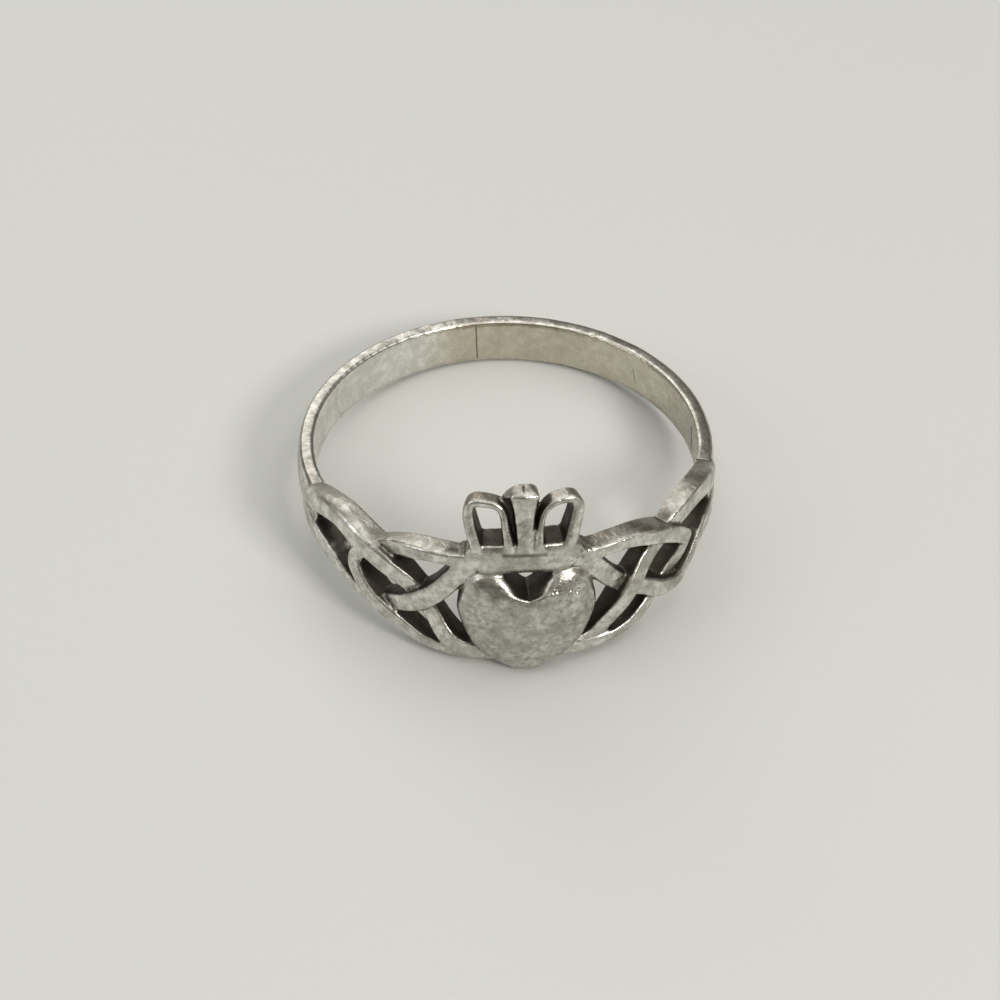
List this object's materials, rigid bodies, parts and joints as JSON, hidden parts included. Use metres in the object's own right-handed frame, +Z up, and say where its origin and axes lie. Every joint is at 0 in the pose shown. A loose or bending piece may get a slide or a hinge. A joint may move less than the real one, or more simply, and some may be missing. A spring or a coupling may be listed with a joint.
{
  "type": "claddagh ring",
  "caption": "Cast silver finger ring with a domed heart under a small crown, held between two pierced trinity knots on a narrow plain band.",
  "frame": {"origin": "middle of the bounding box's underside, on the surface that the ring lies on", "axes": "+Z up from the surface, -Y from the finger hole towards the heart's face, X across the ring; the finger hole's axis leans 9.2 degrees from +Z towards +Y"},
  "size_m": [0.019, 0.02, 0.0096],
  "materials": {
    "silver": "worn satin silver with scuffs and small dents, darkened in the piercings"
  },
  "bodies": {
    "root": {"ring": "silver"}
  },
  "joints": []
}
